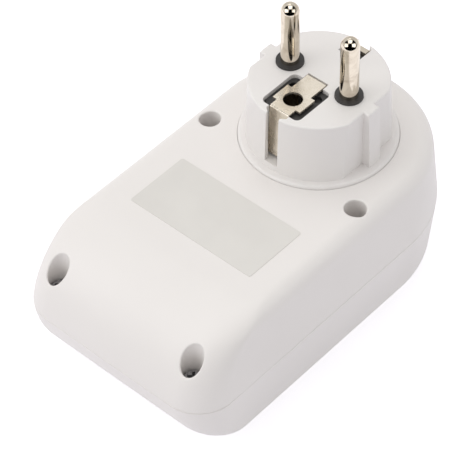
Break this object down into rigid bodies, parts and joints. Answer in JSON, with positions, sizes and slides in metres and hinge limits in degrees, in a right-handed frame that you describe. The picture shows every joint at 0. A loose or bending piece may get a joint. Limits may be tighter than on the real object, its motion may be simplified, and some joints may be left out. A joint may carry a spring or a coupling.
{
  "type": "plug-in digital timer switch",
  "caption": "Flat white plug-in timer switch: round two-pin earthed plug on the back, keyed earthed socket on the front, small display with keys beside it.",
  "frame": {"origin": "middle of the body's outline on the front plane, which the timer lies on", "axes": "+X across the body, +Y towards the plug end, +Z out of the back along the plug pins"},
  "size_m": [0.0622, 0.1086, 0.0773],
  "materials": {
    "white_abs": "fine satin moulding, warm white",
    "label_film": "blank pale grey satin sticker",
    "zinc_steel": "zinc-plated",
    "charcoal_plastic": "satin black polyamide",
    "nickel_plate": "nickel-plated brass, warm",
    "contact_brass": "bare spring brass",
    "grey_plastic": "satin grey",
    "spring_steel": "bare spring strip",
    "silicone": "matte silicone",
    "clear_plastic": "clear, polished",
    "lcd_glass": "grey-green reflective display glass",
    "board_laminate": "green solder mask",
    "black_epoxy": "moulded epoxy",
    "relay_plastic": "glossy blue cover",
    "copper_wire": "enamelled winding",
    "soft_iron": "plated soft iron",
    "yellow_box": "boxed film capacitor",
    "aluminium_can": "sleeved can",
    "nickel_cell": "nickel-plated cell",
    "blue_epoxy": "dipped epoxy"
  },
  "bodies": {
    "housing": {"back_cover": "white_abs", "front_cover": "white_abs", "plug_base": "white_abs", "socket_cup": "white_abs", "label_plate": "label_film", "housing_screws": "zinc_steel", "pin_carrier": "charcoal_plastic", "pin_live": "nickel_plate", "pin_neutral": "nickel_plate", "plug_earth_front": "nickel_plate", "plug_earth_rear": "nickel_plate", "earth_pin_sleeve": "contact_brass", "shutter_spring": "spring_steel", "contact_carrier": "charcoal_plastic", "contact_live": "contact_brass", "contact_neutral": "contact_brass", "socket_earth_strap": "nickel_plate", "earth_link": "contact_brass", "live_link": "contact_brass", "neutral_link": "contact_brass", "switched_link": "contact_brass", "key_mat": "silicone", "display_window": "clear_plastic", "lcd_panel": "lcd_glass", "display_frame": "charcoal_plastic", "zebra_strips": "silicone", "display_board": "board_laminate", "controller_chip": "black_epoxy", "crystal": "zinc_steel", "board_link": "black_epoxy", "board_screws": "zinc_steel", "power_board": "board_laminate", "relay_cover": "relay_plastic", "relay_base": "relay_plastic", "relay_coil": "copper_wire", "relay_yoke": "soft_iron", "relay_contact": "contact_brass", "dropper_capacitor": "yellow_box", "smoothing_capacitor": "aluminium_can", "backup_battery": "nickel_cell", "varistor": "blue_epoxy", "fuse_resistor": "blue_epoxy"},
    "key_clock": {"key_clock": "grey_plastic"},
    "key_timer": {"key_timer": "grey_plastic"},
    "key_week": {"key_week": "grey_plastic"},
    "key_mode": {"key_mode": "grey_plastic"},
    "key_hour": {"key_hour": "grey_plastic"},
    "key_minute": {"key_minute": "grey_plastic"},
    "key_random": {"key_random": "grey_plastic"},
    "key_reset": {"key_reset": "grey_plastic"},
    "shutter": {"socket_shutter": "grey_plastic"},
    "armature": {"relay_armature": "soft_iron"}
  },
  "joints": [
    {"name": "key_clock_press", "type": "slide", "parent": "housing", "child": "key_clock", "axis": [0, 0, 1], "range_m": [0, 0.0008], "stiffness_N_per_m": 600, "springref_m": -0.0005, "deforming": ["key_mat"]},
    {"name": "key_timer_press", "type": "slide", "parent": "housing", "child": "key_timer", "axis": [0, 0, 1], "range_m": [0, 0.0008], "stiffness_N_per_m": 600, "springref_m": -0.0005, "deforming": ["key_mat"]},
    {"name": "key_week_press", "type": "slide", "parent": "housing", "child": "key_week", "axis": [0, 0, 1], "range_m": [0, 0.0008], "stiffness_N_per_m": 600, "springref_m": -0.0005, "deforming": ["key_mat"]},
    {"name": "key_mode_press", "type": "slide", "parent": "housing", "child": "key_mode", "axis": [0, 0, 1], "range_m": [0, 0.0008], "stiffness_N_per_m": 600, "springref_m": -0.0005, "deforming": ["key_mat"]},
    {"name": "key_hour_press", "type": "slide", "parent": "housing", "child": "key_hour", "axis": [0, 0, 1], "range_m": [0, 0.0008], "stiffness_N_per_m": 600, "springref_m": -0.0005, "deforming": ["key_mat"]},
    {"name": "key_minute_press", "type": "slide", "parent": "housing", "child": "key_minute", "axis": [0, 0, 1], "range_m": [0, 0.0008], "stiffness_N_per_m": 600, "springref_m": -0.0005, "deforming": ["key_mat"]},
    {"name": "key_random_press", "type": "slide", "parent": "housing", "child": "key_random", "axis": [0, 0, 1], "range_m": [0, 0.0008], "stiffness_N_per_m": 600, "springref_m": -0.0005, "deforming": ["key_mat"]},
    {"name": "key_reset_press", "type": "slide", "parent": "housing", "child": "key_reset", "axis": [0, 0, 1], "range_m": [0, 0.0008], "stiffness_N_per_m": 600, "springref_m": -0.0005, "deforming": ["key_mat"]},
    {"name": "shutter_turn", "type": "hinge", "parent": "housing", "child": "shutter", "pos_m": [0, 0.024, 0.02045], "axis": [0, 0, 1], "range_deg": [0, 45], "stiffness_Nm_per_rad": 0.002, "springref_deg": -17.19, "deforming": ["shutter_spring"]},
    {"name": "armature_swing", "type": "hinge", "parent": "housing", "child": "armature", "pos_m": [-0.0131, -0.0148, 0.0181], "axis": [0, -1, 0], "range_deg": [0, 3.5], "stiffness_Nm_per_rad": 0.002, "springref_deg": -17.19}
  ]
}
